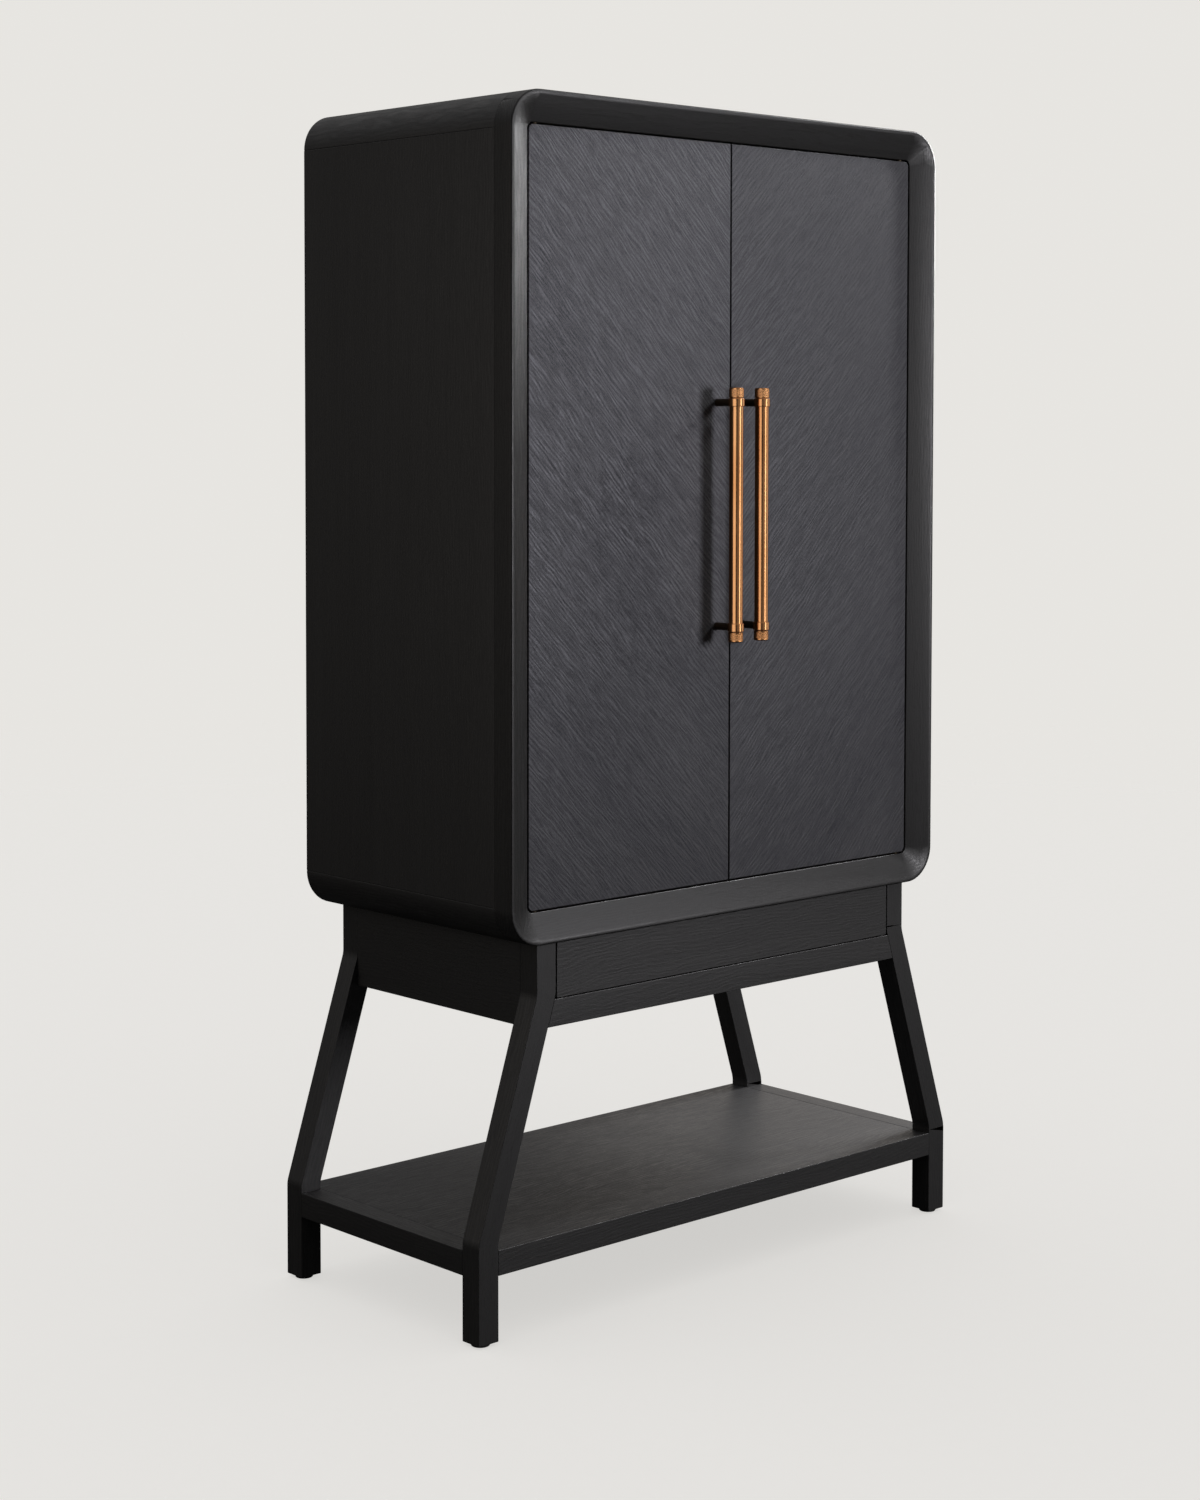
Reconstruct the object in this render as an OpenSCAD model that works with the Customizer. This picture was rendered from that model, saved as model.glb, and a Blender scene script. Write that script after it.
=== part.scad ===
// Two-door cabinet on a splayed stand, with one hidden drawer and a low open shelf.
// Frame: origin on the floor under the middle of the overall box, front towards -Y, up is +Z.
// "Depth" below always means the distance behind the front plane of the case.

/* [Case] */
// Width of the case
case_w = 940; // [900:10:960]
// Depth of the case, front frame included
case_d = 500; // [460:10:560]
// Height of the case
case_h = 1256; // [1150:2:1350]
// Outer radius of the four rounded corners
corner_r = 57; // [55:1:60]
// Thickness of the case boards
board_t = 20; // [18:1:22]
// Thickness of the back panel
back_t = 8; // [6:1:10]

/* [Front frame] */
// Width of the frame, seen from the front
frame_w = 46.5; // [44:0.5:48]
// Depth of the frame, front to back
frame_d = 38; // [38:1:42]
// Flat land at the outer edge of the frame
land_w = 8; // [5:1:12]
// Depth of the bevel, from the front plane back to the doors
bevel_depth = 18; // [16:1:18]
// Rounding of the outer front arris
arris_r = 2.5; // [1:0.5:4]

/* [Doors] */
// Thickness of a door
door_t = 20; // [20:1:21]
// Gap around and between the doors
door_gap = 2.5; // [2.3:0.1:3]
// Pivot axis to the hinged edge of the door
pivot_inset = 16; // [15:1:18]
// Pivot axis to the front face of the door
pivot_back = 8; // [7:0.5:9]

/* [Handles] */
// Length of a handle, caps included
handle_l = 396; // [380:2:420]
// Distance between the two posts of a handle
post_spacing = 350; // [320:5:360]
// Diameter of the bar
bar_dia = 22; // [20:1:24]
// Diameter of the collars around the bar
collar_dia = 26; // [25:1:28]
// Diameter of the posts
post_dia = 12; // [8:1:12]
// Door face to the axis of the bar
stand_off = 41; // [38:1:46]
// Centre line of the cabinet to the axis of a bar
handle_x = 28.5; // [26:0.5:40]

/* [Stand] */
// Height of the case above the floor
stand_h = 584; // [560:2:620]
// Width over the legs at the top
stand_top_w = 820; // [800:10:840]
// Width over the feet
stand_foot_w = 1045; // [1020:5:1060]
// Depth of the stand
stand_d = 472; // [450:2:480]
// Set-back of the stand behind the case front
stand_back = 12; // [8:1:16]
// Side of a leg's square section
leg_t = 38; // [36:1:40]
// Height of the upper bend of the legs
upper_bend_z = 504; // [500:1:510]
// Height of the lower bend of the legs
lower_bend_z = 153; // [150:1:160]
// Height of the lower edge of the aprons
apron_z = 456; // [440:2:460]
// Thickness of the aprons
apron_t = 20; // [18:1:22]
// Height of the top of the low shelf
low_shelf_z = 141; // [136:1:142]
// Thickness of the low shelf
low_shelf_t = 38; // [30:1:40]

/* [Drawer] */
// Height of the front rail under the drawer
front_rail_h = 41; // [36:1:42]
// Gap around the drawer front
drawer_gap = 2; // [1.5:0.5:3]
// Thickness of the drawer front
drawer_front_t = 20; // [18:1:22]
// Thickness of the drawer sides and back
drawer_side_t = 12; // [10:1:14]
// Length of the drawer box behind its front
drawer_l = 400; // [380:5:400]

/* [Hidden] */
$fn = 96;

ebony = "#2b2a29";
ebony_inside = "#35312e";
brass = "#c08a4e";
bronze = "#3a2e22";
steel = "#b8bcc0";
nylon = "#1c1c1c";

// How far a cut runs past the face it starts from
over = 1;

// Overall box and the planes measured from it
bar_depth = bevel_depth - stand_off;
handle_reach = collar_dia / 2 - bar_depth;
front_y = (handle_reach - case_d) / 2;
case_top_z = stand_h + case_h;
case_mid_z = stand_h + case_h / 2;
side_in_x = case_w / 2 - board_t;
flat_x = case_w / 2 - corner_r;
flat_z = case_h / 2 - corner_r;

// Foot of the frame's bevel, where it meets the doors
toe_w = 1;
toe_d = 0.5;
arc_step = 18;

// Door opening, doors and pivots
open_x = case_w / 2 - frame_w;
open_h = case_h - 2 * frame_w;
door_w = open_x - door_gap - door_gap / 2;
door_h = open_h - 2 * door_gap;
door_corner_r = corner_r - frame_w - door_gap;
door_back = bevel_depth + door_t;
pivot_x = open_x - door_gap - pivot_inset;
pivot_depth = bevel_depth + pivot_back;

// Knife hinges
plate_t = 2.5;
plate_w = 10;
plate_l = 45;
plate_play = 0.1;
pin_r = 3;
pin_fit = 0.05;
pin_end = 10;
boss_r = 5;
boss_h = door_gap - 0.3;
pin_hole_r = 4;
pin_hole_depth = 9;
hinge_screw_at = [17, 34];

// Screws: shank radius, head radius, length
hinge_screw = [1.5, 3, 16];
panel_screw = [1.6, 3.2, 18];

// Back panel rebate
rebate_w = 12;
rebate_d = 12;
panel_play = 0.3;
panel_inset = board_t - rebate_w;
panel_screw_inset = panel_inset + 6;
panel_screw_gap_x = 220;
panel_screw_gap_z = 260;

// Inside shelves and their pins
shelf_t = 18;
shelf_count = 3;
shelf_front = 62;
shelf_play = 1.5;
shelf_back_gap = 2;
shelf_pitch = (case_h - 2 * board_t) / (shelf_count + 1);
shelf_pin_r = 2.5;
shelf_pin_collar_r = 4;
shelf_pin_collar_h = 1;
shelf_pin_in = 8;
shelf_pin_out = 9;
shelf_pin_depths = [102, 446];

// Magnetic catches and strike plates
catch_w = 28;
catch_x = 24;
catch_back = 56;
catch_low = 25;
strike_t = 1.5;
strike_w = 20;
strike_h = 21;
strike_drop = 3;
catch_clear = 4;
contact_gap = 0.3;

// Handles
collar_h = 13;
cap_swell = 0.5;
cap_r = bar_dia / 2 + cap_swell;
spigot_r = 6;
spigot_l = 10;
post_seat = 6;
bolt_r = 2.5;
bolt_head_r = 4.5;
bolt_head_h = 3;
bolt_bite = 14;
bolt_play = 0.25;
collar_top = post_spacing / 2 + collar_h / 2;
edge_c = 0.8;

// Stand
glide_h = 5;
glide_r = 14;
glide_c = 1;
nail_r = 1.5;
nail_l = 13;
nail_room = 1;
bend_r = 40;
top_x = stand_top_w / 2;
foot_x = stand_foot_w / 2;
leg_back_depth = stand_back + stand_d;
rail_top_z = apron_z + front_rail_h;
cross_half = top_x - leg_t / 4;

// Case bolts through the cleats
cleat_t = 18;
cleat_z = 510;
case_bolt_r = 3;
case_bolt_head_r = 5;
case_bolt_head_h = 5;
case_bolt_bite = 13;
case_bolt_play = 0.25;
case_bolt_depths = [110, 386];

// Drawer, from the opening between the front legs
mouth_x = top_x - leg_t;
drawer_z = rail_top_z + drawer_gap;
drawer_top_z = stand_h - drawer_gap;
slide_space = 13;
box_x = mouth_x - slide_space;
box_lift = 4;
box_z = drawer_z + box_lift;
box_h = 70;
box_front = stand_back + drawer_front_t;
bottom_t = 6;
bottom_lift = 8;
bottom_z = box_z + bottom_lift;
groove = 5;

// Drawer slides: three nested channels
slide_cut = 10;
slide_inset = 4;
slide_raise = 7;
slide_l = drawer_l - slide_cut;
slide_start = box_front + slide_inset;
slide_z = box_z + box_h / 2 + slide_raise;
slide_sheet = 1.2;
slide_lip = 3;
outer_half = 22.5;
middle_half = 21;
middle_lip_t = 2.4;
middle_back = 10.8;
inner_half = 18.3;
inner_lip_t = 1.8;
inner_reach = 8.6;

// Push latch behind the drawer
latch_w = 20;
latch_h = 24;
latch_l = 28;
latch_drop = 12;
latch_z = slide_z - latch_drop;
plunger_r = 4;
plunger_fit = 0.05;
plunger_l = 24;
latch_bore = 25;
drawer_end = box_front + drawer_l;
plunger_depth = drawer_end + contact_gap;

// ---------- helpers ----------

// Moves a child from "depth" to the shared frame
module at_depth(d) {
    translate([0, front_y + d, 0]) children();
}

// Draws a child on the left as written here for +X, mirrored
module on_side(side) {
    if (side > 0) {
        children();
    } else {
        mirror([1, 0, 0]) children();
    }
}

// Box from its low corner to its high corner, the second value being depth
module block(low, high) {
    at_depth(0) translate(low) cube(high - low);
}

// Round bar along Y from one depth to another
module rod_y(r, x, z, d0, d1) {
    at_depth(d0) translate([x, 0, z]) rotate([-90, 0, 0]) cylinder(r = r, h = d1 - d0);
}

// Countersunk screw, head flush with z = 0, shank along +Z
module wood_screw(s) {
    head_h = s[1] - s[0];
    tip_h = 2 * s[0];
    rotate_extrude() polygon([
        [0, 0], [s[1], 0], [s[0], head_h], [s[0], s[2] - tip_h], [0, s[2]]
    ]);
}

// Rounded plate in the XZ plane, standing on the back face of its depth
module rounded_plate(half_x, half_z, r, d0, d1) {
    at_depth(d1) translate([0, 0, case_mid_z]) rotate([90, 0, 0]) linear_extrude(d1 - d0) union() {
        square([2 * half_x, 2 * (half_z - r)], center = true);
        square([2 * (half_x - r), 2 * half_z], center = true);
        for (sx = [-1, 1], sz = [-1, 1]) {
            translate([sx * (half_x - r), sz * (half_z - r)]) circle(r);
        }
    }
}

// ---------- case ----------

module back_rebate() {
    half_x = case_w / 2 - panel_inset;
    half_z = case_h / 2 - panel_inset;
    rounded_plate(half_x, half_z, corner_r - panel_inset, case_d - rebate_d, case_d + over);
}

module panel_screw_places() {
    sx = case_w / 2 - panel_screw_inset;
    sz = case_h / 2 - panel_screw_inset;
    for (k = [-1, 1], i = [-1.5 : 1 : 1.5]) {
        translate([i * panel_screw_gap_x, 0, case_mid_z + k * sz]) children();
    }
    for (k = [-1, 1], i = [-2 : 1 : 2]) {
        translate([k * sx, 0, case_mid_z + i * panel_screw_gap_z]) children();
    }
}

module panel_screws() {
    at_depth(case_d - rebate_d + back_t) panel_screw_places()
        rotate([90, 0, 0]) wood_screw(panel_screw);
}

module shelf_pin_places(side) {
    for (i = [1 : shelf_count], d = shelf_pin_depths) {
        z = stand_h + board_t + i * shelf_pitch - shelf_t / 2 - shelf_pin_r;
        at_depth(d) translate([side * side_in_x, 0, z]) rotate([0, side * 90, 0]) children();
    }
}

module shelf_pin() {
    translate([0, 0, -shelf_pin_out]) cylinder(r = shelf_pin_r, h = shelf_pin_out + shelf_pin_in);
    translate([0, 0, -shelf_pin_collar_h]) cylinder(r = shelf_pin_collar_r, h = shelf_pin_collar_h);
}

module case_bolt_places() {
    for (k = [-1, 1], d = case_bolt_depths) {
        at_depth(d) translate([k * (mouth_x + cleat_t / 2), 0, 0]) children();
    }
}

module level_board(z) {
    difference() {
        block([-flat_x, frame_d, z], [flat_x, case_d, z + board_t]);
        back_rebate();
        panel_screws();
    }
}

module case_top() {
    color(ebony) level_board(case_top_z - board_t);
}

module case_bottom() {
    color(ebony) difference() {
        level_board(stand_h);
        case_bolt_places() translate([0, 0, stand_h - over])
            cylinder(r = case_bolt_r, h = case_bolt_bite + over);
    }
}

module case_side(side) {
    color(ebony) difference() {
        on_side(side) block(
            [side_in_x, frame_d, case_mid_z - flat_z],
            [case_w / 2, case_d, case_mid_z + flat_z]
        );
        back_rebate();
        panel_screws();
        shelf_pin_places(side) cylinder(r = shelf_pin_r, h = shelf_pin_in);
    }
}

// Quarter-round corner stave with a flat inner face
module corner_stave(side, up) {
    inner = corner_r - board_t;
    color(ebony) difference() {
        at_depth(case_d) translate([side * flat_x, 0, case_mid_z + up * flat_z]) rotate([90, 0, 0])
            linear_extrude(case_d - frame_d) mirror([side > 0 ? 0 : 1, 0]) mirror([0, up > 0 ? 0 : 1])
            difference() {
                intersection() {
                    circle(corner_r);
                    square(corner_r);
                }
                polygon([[0, 0], [inner, 0], [0, inner]]);
            }
        back_rebate();
    }
}

module back_panel() {
    half_x = case_w / 2 - panel_inset - panel_play;
    half_z = case_h / 2 - panel_inset - panel_play;
    start = case_d - rebate_d;
    color(ebony_inside) difference() {
        rounded_plate(half_x, half_z, corner_r - panel_inset - panel_play, start, start + back_t);
        panel_screws();
    }
}

module back_panel_screws() {
    color(steel) panel_screws();
}

module inner_shelves() {
    half_x = side_in_x - shelf_play;
    color(ebony_inside) for (i = [1 : shelf_count]) {
        z = stand_h + board_t + i * shelf_pitch - shelf_t / 2;
        block([-half_x, shelf_front, z], [half_x, case_d - rebate_d - shelf_back_gap, z + shelf_t]);
    }
}

module shelf_pins() {
    color(steel) for (side = [-1, 1]) {
        shelf_pin_places(side) shelf_pin();
    }
}

// ---------- front frame ----------

// Section of the frame: x is the radius about a corner's centre, y the depth
module frame_profile() {
    inner_r = corner_r - frame_w;
    round_over = [for (a = [0 : arc_step : 90]) [
        corner_r - arris_r + arris_r * cos(a), arris_r - arris_r * sin(a)
    ]];
    polygon(concat(round_over, [
        [corner_r - land_w, 0],
        [inner_r + toe_w, bevel_depth - toe_d],
        [inner_r, bevel_depth + toe_d],
        [inner_r, frame_d],
        [corner_r, frame_d]
    ]));
}

// One mitred member with half a corner at each end, drawn as the top rail
module frame_member(straight) {
    translate([straight / 2, 0, 0]) rotate([0, -90, 0]) linear_extrude(straight) frame_profile();
    for (side = [-1, 1]) {
        on_side(side) translate([straight / 2, 0, 0]) rotate([-90, 0, 0]) rotate([0, 0, -90])
            rotate_extrude(angle = 45) frame_profile();
    }
}

module frame_rail(up) {
    color(ebony) difference() {
        at_depth(0) translate([0, 0, case_mid_z + up * flat_z]) rotate([0, up > 0 ? 0 : 180, 0])
            frame_member(2 * flat_x);
        for (side = [-1, 1]) {
            hinge_place(side, up) {
                hinge_plate_blank(plate_play);
                hinge_screws_in_plate();
            }
        }
    }
}

module frame_stile(side) {
    color(ebony) at_depth(0) translate([side * flat_x, 0, case_mid_z]) rotate([0, side * 90, 0])
        frame_member(2 * flat_z);
}

// ---------- knife hinges ----------

// Puts a hinge part drawn at its pivot, plate towards +X and wood towards +Z, at one corner
module hinge_place(side, up) {
    at_depth(pivot_depth) translate([side * pivot_x, 0, case_mid_z + up * open_h / 2])
        mirror([side > 0 ? 1 : 0, 0, 0]) mirror([0, 0, up > 0 ? 0 : 1]) children();
}

// The same for the plate in the door, whose wood is on the other side of the gap
module door_hinge_place(side, up) {
    at_depth(pivot_depth) translate([side * pivot_x, 0, case_mid_z + up * door_h / 2])
        mirror([side > 0 ? 1 : 0, 0, 0]) mirror([0, 0, up > 0 ? 1 : 0]) children();
}

module hinge_plate_blank(play) {
    r = plate_w / 2 + play;
    cylinder(r = r, h = plate_t);
    translate([0, -r, 0]) cube([plate_l - plate_w / 2 + play, 2 * r, plate_t]);
}

module hinge_screws_in_plate() {
    for (x = hinge_screw_at) {
        translate([x, 0, 0]) wood_screw(hinge_screw);
    }
}

module hinge_plates_fixed() {
    color(bronze) for (side = [-1, 1], up = [-1, 1]) {
        hinge_place(side, up) {
            difference() {
                hinge_plate_blank(0);
                hinge_screws_in_plate();
            }
            translate([0, 0, -boss_h]) cylinder(r = boss_r, h = boss_h);
            translate([0, 0, -pin_end]) cylinder(r = pin_r, h = pin_end);
        }
    }
}

module hinge_screws_fixed() {
    color(bronze) for (side = [-1, 1], up = [-1, 1]) {
        hinge_place(side, up) hinge_screws_in_plate();
    }
}

module hinge_plates(side) {
    color(bronze) for (up = [-1, 1]) {
        door_hinge_place(side, up) difference() {
            hinge_plate_blank(0);
            hinge_screws_in_plate();
            translate([0, 0, -over]) cylinder(r = pin_r + pin_fit, h = plate_t + 2 * over);
        }
    }
}

module hinge_screws(side) {
    color(bronze) for (up = [-1, 1]) {
        door_hinge_place(side, up) hinge_screws_in_plate();
    }
}

// ---------- doors ----------

module handle_bolt_places(side) {
    for (k = [-1, 1]) {
        translate([side * handle_x, 0, case_mid_z + k * post_spacing / 2]) children();
    }
}

module door(side) {
    r = door_corner_r;
    color(ebony) difference() {
        at_depth(door_back) translate([side * door_gap / 2, 0, case_mid_z - door_h / 2])
            mirror([side > 0 ? 0 : 1, 0, 0]) rotate([90, 0, 0]) linear_extrude(door_t) union() {
                square([door_w - r, door_h]);
                translate([door_w - 2 * r, r]) square([2 * r, door_h - 2 * r]);
                translate([door_w - r, r]) circle(r);
                translate([door_w - r, door_h - r]) circle(r);
            }
        for (up = [-1, 1]) {
            door_hinge_place(side, up) {
                hinge_plate_blank(plate_play);
                hinge_screws_in_plate();
                cylinder(r = pin_hole_r, h = pin_hole_depth);
            }
        }
        handle_bolt_places(side) at_depth(bevel_depth - over) rotate([-90, 0, 0])
            cylinder(r = bolt_r + bolt_play, h = door_t + 2 * over);
    }
}

module strike_plate(side) {
    top = case_mid_z + door_h / 2;
    color(steel) on_side(side) block(
        [catch_x - strike_w / 2, door_back, top - strike_drop - strike_h],
        [catch_x + strike_w / 2, door_back + strike_t, top - strike_drop]
    );
}

module magnet_catches() {
    gap_z = case_mid_z + open_h / 2;
    low_z = gap_z - catch_low;
    high_z = case_top_z - board_t - catch_clear;
    face = door_back + strike_t + contact_gap;
    x0 = catch_x - catch_w / 2;
    x1 = catch_x + catch_w / 2;
    color(nylon) for (side = [-1, 1]) {
        on_side(side) union() {
            block([x0, face, low_z], [x1, catch_back, gap_z + 2 * over]);
            block([x0, frame_d, gap_z + over], [x1, catch_back, high_z]);
        }
    }
}

// ---------- handles ----------

module on_bar_axis(side) {
    at_depth(bar_depth) translate([side * handle_x, 0, case_mid_z]) children();
}

module handle_bar(side) {
    r = bar_dia / 2;
    cr = collar_dia / 2;
    low = collar_top - collar_h;
    half = [
        [r, low], [cr - edge_c, low], [cr, low + edge_c], [cr, collar_top - edge_c],
        [cr - edge_c, collar_top], [spigot_r, collar_top], [spigot_r, collar_top + spigot_l]
    ];
    other = [for (i = [len(half) - 1 : -1 : 0]) [half[i][0], -half[i][1]]];
    color(brass) difference() {
        on_bar_axis(side) rotate_extrude() polygon(concat(
            other, half, [[0, collar_top + spigot_l], [0, -collar_top - spigot_l]]
        ));
        handle_bolt_places(side) at_depth(bar_depth + post_seat) rotate([-90, 0, 0])
            cylinder(r = post_dia / 2, h = collar_dia);
    }
}

module handle_caps(side) {
    end = handle_l / 2;
    hollow = collar_top + spigot_l + contact_gap;
    color(brass) for (up = [0, 1]) {
        on_bar_axis(side) mirror([0, 0, up]) rotate_extrude() polygon([
            [spigot_r, collar_top], [cap_r, collar_top], [cap_r, end - edge_c], [cap_r - edge_c, end],
            [0, end], [0, hollow], [spigot_r, hollow]
        ]);
    }
}

module handle_posts(side) {
    color(bronze) difference() {
        for (k = [-1, 1]) {
            rod_y(post_dia / 2, side * handle_x, case_mid_z + k * post_spacing / 2,
                bar_depth + post_seat, bevel_depth);
        }
        for (k = [-1, 1]) {
            rod_y(bolt_r, side * handle_x, case_mid_z + k * post_spacing / 2,
                bevel_depth - bolt_bite, bevel_depth + over);
        }
    }
}

module handle_bolts(side) {
    color(steel) for (k = [-1, 1]) {
        z = case_mid_z + k * post_spacing / 2;
        rod_y(bolt_r, side * handle_x, z, bevel_depth - bolt_bite, door_back + over);
        rod_y(bolt_head_r, side * handle_x, z, door_back, door_back + bolt_head_h);
    }
}

// ---------- stand ----------

function unit(v) = v / norm(v);

// Round stretch that replaces the corner b of the path a-b-c
function bend(a, b, c, r, steps = 5) =
    let (
        u = unit(a - b),
        w = unit(c - b),
        half = acos(u * w) / 2,
        centre = b + unit(u + w) * r / sin(half),
        p = b + u * r / tan(half) - centre,
        q = b + w * r / tan(half) - centre,
        from = atan2(p[1], p[0]),
        turn = (atan2(q[1], q[0]) - from + 540) % 360 - 180
    )
    [for (i = [0 : steps]) centre + r * [cos(from + turn * i / steps), sin(from + turn * i / steps)]];

// One face of the leg, from the case down to the foot, shifted inwards by t
function leg_face(t) =
    let (
        a = [top_x - t, stand_h],
        b = [top_x - t, upper_bend_z],
        c = [foot_x - t, lower_bend_z],
        d = [foot_x - t, glide_h]
    )
    concat([a], bend(a, b, c, bend_r), bend(b, c, d, bend_r), [d]);

module leg_prism(side, depth) {
    inner = leg_face(leg_t);
    on_side(side) at_depth(depth + leg_t) rotate([90, 0, 0]) linear_extrude(leg_t)
        polygon(concat(leg_face(0), [for (i = [len(inner) - 1 : -1 : 0]) inner[i]]));
}

module glide_places() {
    for (side = [-1, 1], d = [stand_back, leg_back_depth - leg_t]) {
        at_depth(d + leg_t / 2) translate([side * (foot_x - leg_t / 2), 0, 0]) children();
    }
}

module leg(side, depth) {
    color(ebony) difference() {
        leg_prism(side, depth);
        glide_places() cylinder(r = nail_r, h = glide_h + nail_l + nail_room);
    }
}

module floor_glides() {
    color(nylon) glide_places() rotate_extrude() polygon([
        [0, 0], [glide_r - glide_c, 0], [glide_r, glide_c], [glide_r, glide_h],
        [nail_r, glide_h], [nail_r, glide_h + nail_l], [0, glide_h + nail_l]
    ]);
}

module apron_side(side) {
    color(ebony) on_side(side) block(
        [top_x - apron_t, stand_back + leg_t, apron_z],
        [top_x, leg_back_depth - leg_t, stand_h]
    );
}

module apron_back() {
    color(ebony) difference() {
        block(
            [-cross_half, leg_back_depth - apron_t, apron_z],
            [cross_half, leg_back_depth, stand_h]
        );
        leg_prism(-1, leg_back_depth - leg_t);
        leg_prism(1, leg_back_depth - leg_t);
    }
}

module front_rail() {
    color(ebony) difference() {
        block([-cross_half, stand_back, apron_z], [cross_half, stand_back + apron_t, rail_top_z]);
        leg_prism(-1, stand_back);
        leg_prism(1, stand_back);
    }
}

module runner_cleats() {
    color(ebony_inside) difference() {
        for (side = [-1, 1]) {
            on_side(side) block(
                [mouth_x, stand_back + leg_t, cleat_z],
                [mouth_x + cleat_t, leg_back_depth - leg_t, stand_h]
            );
        }
        case_bolt_places() translate([0, 0, cleat_z - over])
            cylinder(r = case_bolt_r + case_bolt_play, h = stand_h - cleat_z + 2 * over);
    }
}

module case_bolts() {
    color(steel) case_bolt_places() {
        translate([0, 0, cleat_z - case_bolt_head_h]) cylinder(r = case_bolt_head_r, h = case_bolt_head_h);
        translate([0, 0, cleat_z - over]) cylinder(r = case_bolt_r, h = stand_h + case_bolt_bite - cleat_z);
    }
}

module low_shelf_panel() {
    half_x = foot_x - leg_t;
    color(ebony) block(
        [-half_x, stand_back, low_shelf_z - low_shelf_t],
        [half_x, leg_back_depth, low_shelf_z]
    );
}

module low_shelf_end(side) {
    color(ebony) on_side(side) block(
        [foot_x - leg_t, stand_back + leg_t, low_shelf_z - low_shelf_t],
        [foot_x, leg_back_depth - leg_t, low_shelf_z]
    );
}

// ---------- drawer ----------

module drawer_front() {
    half_x = mouth_x - drawer_gap;
    color(ebony) difference() {
        block([-half_x, stand_back, drawer_z], [half_x, box_front, drawer_top_z]);
        drawer_bottom_board();
    }
}

module drawer_bottom_board() {
    half_x = box_x - drawer_side_t + groove;
    block([-half_x, box_front - groove, bottom_z], [half_x, drawer_end, bottom_z + bottom_t]);
}

module drawer_side(side) {
    color(ebony_inside) difference() {
        on_side(side) block([box_x - drawer_side_t, box_front, box_z], [box_x, drawer_end, box_z + box_h]);
        drawer_bottom_board();
    }
}

module drawer_back() {
    half_x = box_x - drawer_side_t;
    color(ebony_inside) block(
        [-half_x, drawer_end - drawer_side_t, bottom_z + bottom_t],
        [half_x, drawer_end, box_z + box_h]
    );
}

module drawer_bottom() {
    color(ebony_inside) drawer_bottom_board();
}

// Channel along Y: s is the distance from the drawer's side, web at s0 to s1, lips to s2
module channel(side, s0, s1, s2, half, lip_t) {
    low = min(s0, s2);
    high = max(s1, s2);
    on_side(side) union() {
        block(
            [box_x + s0, slide_start, slide_z - half],
            [box_x + s1, slide_start + slide_l, slide_z + half]
        );
        for (z = [-half, half - lip_t]) {
            block(
                [box_x + low, slide_start, slide_z + z],
                [box_x + high, slide_start + slide_l, slide_z + z + lip_t]
            );
        }
    }
}

module slide_outers() {
    color(steel) for (side = [-1, 1]) {
        channel(side, slide_space - slide_sheet, slide_space, slide_lip, outer_half, slide_sheet);
    }
}

module slide_middles() {
    color(steel) for (side = [-1, 1]) {
        channel(side, middle_back - slide_sheet, middle_back, slide_lip, middle_half, middle_lip_t);
    }
}

module slide_inners() {
    color(steel) for (side = [-1, 1]) {
        channel(side, 0, slide_sheet, inner_reach, inner_half, inner_lip_t);
    }
}

// ---------- push latch ----------

module latch_housing() {
    start = leg_back_depth - apron_t - latch_l;
    color(nylon) difference() {
        block(
            [-latch_w / 2, start, latch_z - latch_h / 2],
            [latch_w / 2, start + latch_l, latch_z + latch_h / 2]
        );
        rod_y(plunger_r + plunger_fit, 0, latch_z, start - over, start + latch_bore);
    }
}

module latch_plunger() {
    color(nylon) rod_y(plunger_r, 0, latch_z, plunger_depth, plunger_depth + plunger_l);
}

// ---------- assembly ----------

case_top();
case_bottom();
case_side(-1);  // case_side_left
case_side(1);  // case_side_right
corner_stave(-1, 1);  // corner_stave_top_left
corner_stave(1, 1);  // corner_stave_top_right
corner_stave(-1, -1);  // corner_stave_bottom_left
corner_stave(1, -1);  // corner_stave_bottom_right
frame_rail(1);  // frame_rail_top
frame_rail(-1);  // frame_rail_bottom
frame_stile(-1);  // frame_stile_left
frame_stile(1);  // frame_stile_right
back_panel();
back_panel_screws();
inner_shelves();
shelf_pins();
hinge_plates_fixed();
hinge_screws_fixed();
magnet_catches();
door(-1);  // door_left
hinge_plates(-1);  // hinge_plates_left
hinge_screws(-1);  // hinge_screws_left
strike_plate(-1);  // strike_plate_left
handle_bar(-1);  // handle_bar_left
handle_caps(-1);  // handle_caps_left
handle_posts(-1);  // handle_posts_left
handle_bolts(-1);  // handle_bolts_left
door(1);  // door_right
hinge_plates(1);  // hinge_plates_right
hinge_screws(1);  // hinge_screws_right
strike_plate(1);  // strike_plate_right
handle_bar(1);  // handle_bar_right
handle_caps(1);  // handle_caps_right
handle_posts(1);  // handle_posts_right
handle_bolts(1);  // handle_bolts_right
leg(-1, stand_back);  // leg_front_left
leg(1, stand_back);  // leg_front_right
leg(-1, leg_back_depth - leg_t);  // leg_back_left
leg(1, leg_back_depth - leg_t);  // leg_back_right
apron_side(-1);  // apron_left
apron_side(1);  // apron_right
apron_back();
front_rail();
runner_cleats();
case_bolts();
floor_glides();
low_shelf_panel();
low_shelf_end(-1);  // low_shelf_end_left
low_shelf_end(1);  // low_shelf_end_right
slide_outers();
slide_middles();
slide_inners();
drawer_front();
drawer_side(-1);  // drawer_side_left
drawer_side(1);  // drawer_side_right
drawer_back();
drawer_bottom();
latch_housing();
latch_plunger();
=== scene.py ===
"""Looks of a two-door cabinet on a splayed stand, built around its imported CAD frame."""
import math

import bmesh
import bpy
from mathutils import Matrix, Vector


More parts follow.
